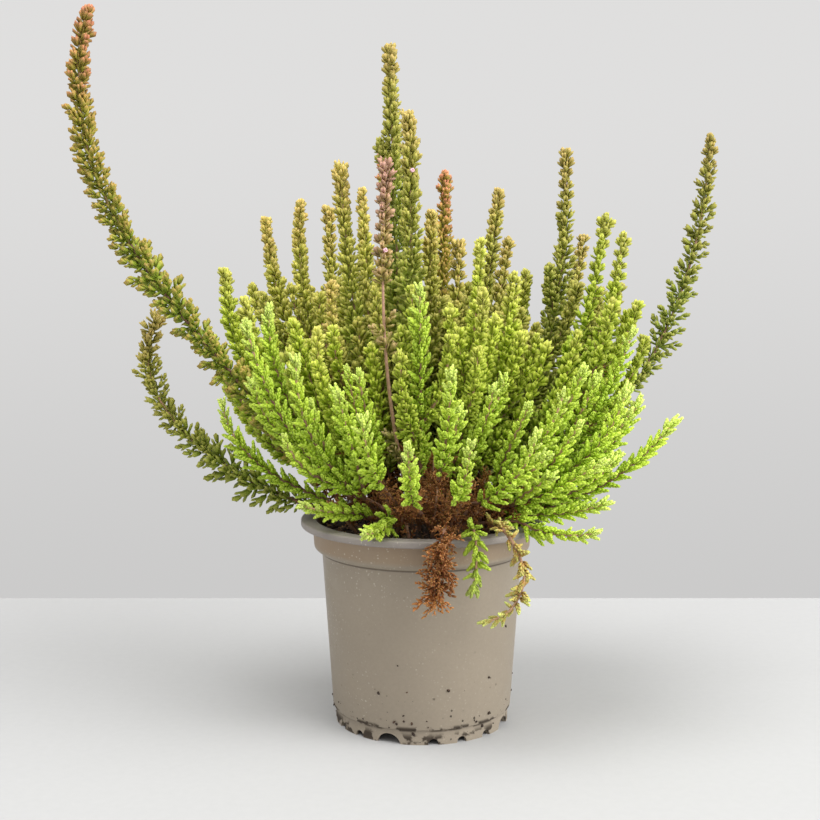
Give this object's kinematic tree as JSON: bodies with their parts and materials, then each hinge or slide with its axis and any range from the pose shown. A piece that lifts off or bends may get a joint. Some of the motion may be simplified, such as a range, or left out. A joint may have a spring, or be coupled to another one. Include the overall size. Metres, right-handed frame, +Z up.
{
  "type": "potted heather",
  "caption": "Bushy leafy heather in a round taupe plastic nursery pot with a notched foot, with olive, bronze and lime shoots and a dry tuft over the rim.",
  "frame": {"origin": "on the pot's axis, at the level its foot stands on", "axes": "+Z up, -Y towards the front of the picture, +X to its right"},
  "size_m": [0.2446, 0.1473, 0.2583],
  "materials": {
    "pot": "satin taupe moulding",
    "compost": "damp crumbly black-brown compost",
    "olive": "olive-green scale leaves on a thin woody stem",
    "bronze": "olive scale leaves that turn red-bronze at the tip",
    "pink": "pinkish-brown scale leaves on a pale pink-tan stem",
    "green": "fresh mid-green scale leaves",
    "lime": "bright lime-green scale leaves",
    "brown": "dead red-brown foliage",
    "ochre": "dried ochre foliage"
  },
  "bodies": {
    "root": {"pot": "pot", "compost": "compost", "tall_left": "bronze", "low_left": "olive", "left_back_a": "green", "left_back_b": "green", "lime_left_low": "lime", "lime_left_a": "lime", "lime_left_b": "lime", "left_mid_a": "olive", "left_mid_b": "olive", "lime_front_left": "lime", "mid_left_a": "olive", "mid_left_b": "olive", "mid_left_c": "olive", "tall_middle_a": "olive", "tall_middle_b": "olive", "orange_tip": "bronze", "pink_stem": "pink", "middle_a": "olive", "middle_b": "bronze", "middle_c": "olive", "right_mid_a": "olive", "right_mid_b": "green", "right_mid_c": "olive", "right_mid_d": "green", "right_mid_e": "green", "tall_right_mid": "olive", "right_side_shoot": "olive", "right_a": "green", "right_b": "green", "right_c": "lime", "tall_right": "olive", "lime_right_a": "lime", "lime_right_b": "lime", "lime_right_long": "lime", "low_right_a": "lime", "low_right_b": "lime", "low_right_c": "lime", "front_left_a": "green", "front_left_b": "olive", "front_middle_a": "lime", "front_middle_b": "lime", "front_right_a": "green", "front_right_b": "lime", "front_right_c": "lime", "front_low_a": "lime", "front_low_b": "lime", "front_low_c": "lime", "skirt_left_a": "lime", "skirt_left_b": "lime", "back_a": "green", "back_b": "green", "back_c": "olive", "back_d": "green", "dry_tuft_hanging": "brown", "dry_curl_hanging": "ochre", "green_sprig_hanging": "lime", "dead_spray_left": "brown", "dead_spray_right": "brown"}
  },
  "joints": []
}
